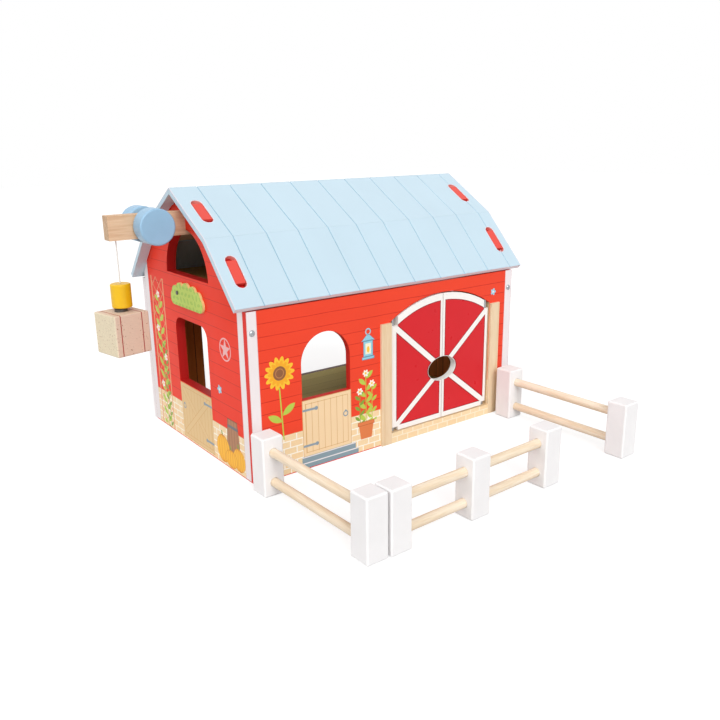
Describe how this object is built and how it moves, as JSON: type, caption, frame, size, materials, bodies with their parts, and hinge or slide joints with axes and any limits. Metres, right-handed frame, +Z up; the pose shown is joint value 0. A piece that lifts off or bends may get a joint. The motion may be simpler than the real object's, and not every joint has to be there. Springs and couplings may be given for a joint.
{
  "type": "toy barn",
  "caption": "Toy barn with a lift-off gambrel roof, arched double doors on pins, hay loft, beam hoist with a magnet and bale, and free-standing post-and-rail fences.",
  "frame": {"origin": "on the floor, at the middle of the barn's base", "axes": "+X along the front wall towards the big doors' side, +Y from the front wall to the back wall, +Z up"},
  "size_m": [0.5185, 0.4892, 0.3137],
  "materials": {
    "base_board": "painted fibreboard, satin",
    "red_board": "painted and printed fibreboard, satin",
    "white_board": "painted fibreboard, satin",
    "blue_board": "painted fibreboard, satin",
    "blue_wheel": "painted beech, satin",
    "green_board": "painted fibreboard, satin",
    "yellow_wood": "painted beech, satin",
    "bale_wood": "printed softwood, matt",
    "natural_wood": "bare wood, fine sanded",
    "white_post": "painted wood, satin",
    "steel": "zinc plated",
    "string": "twisted cotton"
  },
  "bodies": {
    "barn": {"floor_panel": "base_board", "front_wall": "red_board", "back_wall": "red_board", "left_gable": "red_board", "right_gable": "red_board", "corner_screws": "steel", "left_door_jamb": "natural_wood", "right_door_jamb": "natural_wood", "door_threshold": "natural_wood", "door_pins": "steel", "loft_floor": "base_board", "front_loft_rail": "natural_wood", "back_loft_rail": "natural_wood", "loft_plaque": "green_board", "plaque_pin": "steel", "hoist_beam": "natural_wood", "beam_cleats": "natural_wood", "beam_screws": "steel", "guide_pin": "steel", "string_lead": "string"},
    "left_door": {"left_door_leaf": "white_board"},
    "right_door": {"right_door_leaf": "white_board"},
    "front_roof": {"front_roof_upper": "blue_board", "front_roof_lower": "blue_board", "front_roof_batten": "natural_wood"},
    "back_roof": {"back_roof_upper": "blue_board", "back_roof_lower": "blue_board", "back_roof_batten": "natural_wood"},
    "winch": {"winch_axle": "natural_wood", "front_winch_wheel": "blue_wheel", "back_winch_wheel": "blue_wheel", "string_winding": "string"},
    "magnet": {"magnet_holder": "yellow_wood", "magnet_disc": "steel", "hoist_string": "string"},
    "bale": {"hay_bale": "bale_wood", "bale_plate": "steel", "bale_screw": "steel"},
    "left_fence": {"left_fence_post_1": "white_post", "left_fence_post_2": "white_post", "left_fence_lower_rail": "natural_wood", "left_fence_upper_rail": "natural_wood"},
    "right_fence": {"right_fence_post_1": "white_post", "right_fence_post_2": "white_post", "right_fence_lower_rail": "natural_wood", "right_fence_upper_rail": "natural_wood"},
    "front_fence": {"front_fence_post_1": "white_post", "front_fence_post_2": "white_post", "front_fence_post_3": "white_post", "front_fence_lower_rail_1": "natural_wood", "front_fence_upper_rail_1": "natural_wood", "front_fence_lower_rail_2": "natural_wood", "front_fence_upper_rail_2": "natural_wood"}
  },
  "joints": [
    {"name": "left_door_hinge", "type": "hinge", "parent": "barn", "child": "left_door", "pos_m": [-0.0025, -0.134, 0.08], "axis": [0, 0, -1], "range_deg": [0, 95]},
    {"name": "right_door_hinge", "type": "hinge", "parent": "barn", "child": "right_door", "pos_m": [0.1545, -0.134, 0.08], "axis": [0, 0, 1], "range_deg": [0, 95]},
    {"name": "front_roof_lift", "type": "slide", "parent": "barn", "child": "front_roof", "axis": [0, -0.6325, 0.7745], "range_m": [0, 0.12]},
    {"name": "back_roof_lift", "type": "slide", "parent": "barn", "child": "back_roof", "axis": [0, 0.6325, 0.7745], "range_m": [0, 0.12]},
    {"name": "winch_turn", "type": "hinge", "parent": "barn", "child": "winch", "pos_m": [-0.2415, 0, 0.27475], "axis": [0, 1, 0], "range_deg": [-420, 1335]},
    {"name": "hoist_travel", "type": "slide", "parent": "barn", "child": "magnet", "axis": [0, 0, -1], "range_m": [-0.041, 0.1304], "deforming": ["hoist_string"]},
    {"name": "bale_pull", "type": "slide", "parent": "magnet", "child": "bale", "axis": [-1, 0, 0], "range_m": [0, 0.05]},
    {"name": "left_fence_lift", "type": "slide", "parent": "barn", "child": "left_fence", "axis": [0, 0, 1], "range_m": [0, 0.1]},
    {"name": "right_fence_lift", "type": "slide", "parent": "barn", "child": "right_fence", "axis": [0, 0, 1], "range_m": [0, 0.1]},
    {"name": "front_fence_lift", "type": "slide", "parent": "barn", "child": "front_fence", "axis": [0, 0, 1], "range_m": [0, 0.1]}
  ],
  "couplings": [
    {"joint": "hoist_travel", "follows": "winch_turn", "m_per_rad": 0.0056}
  ]
}
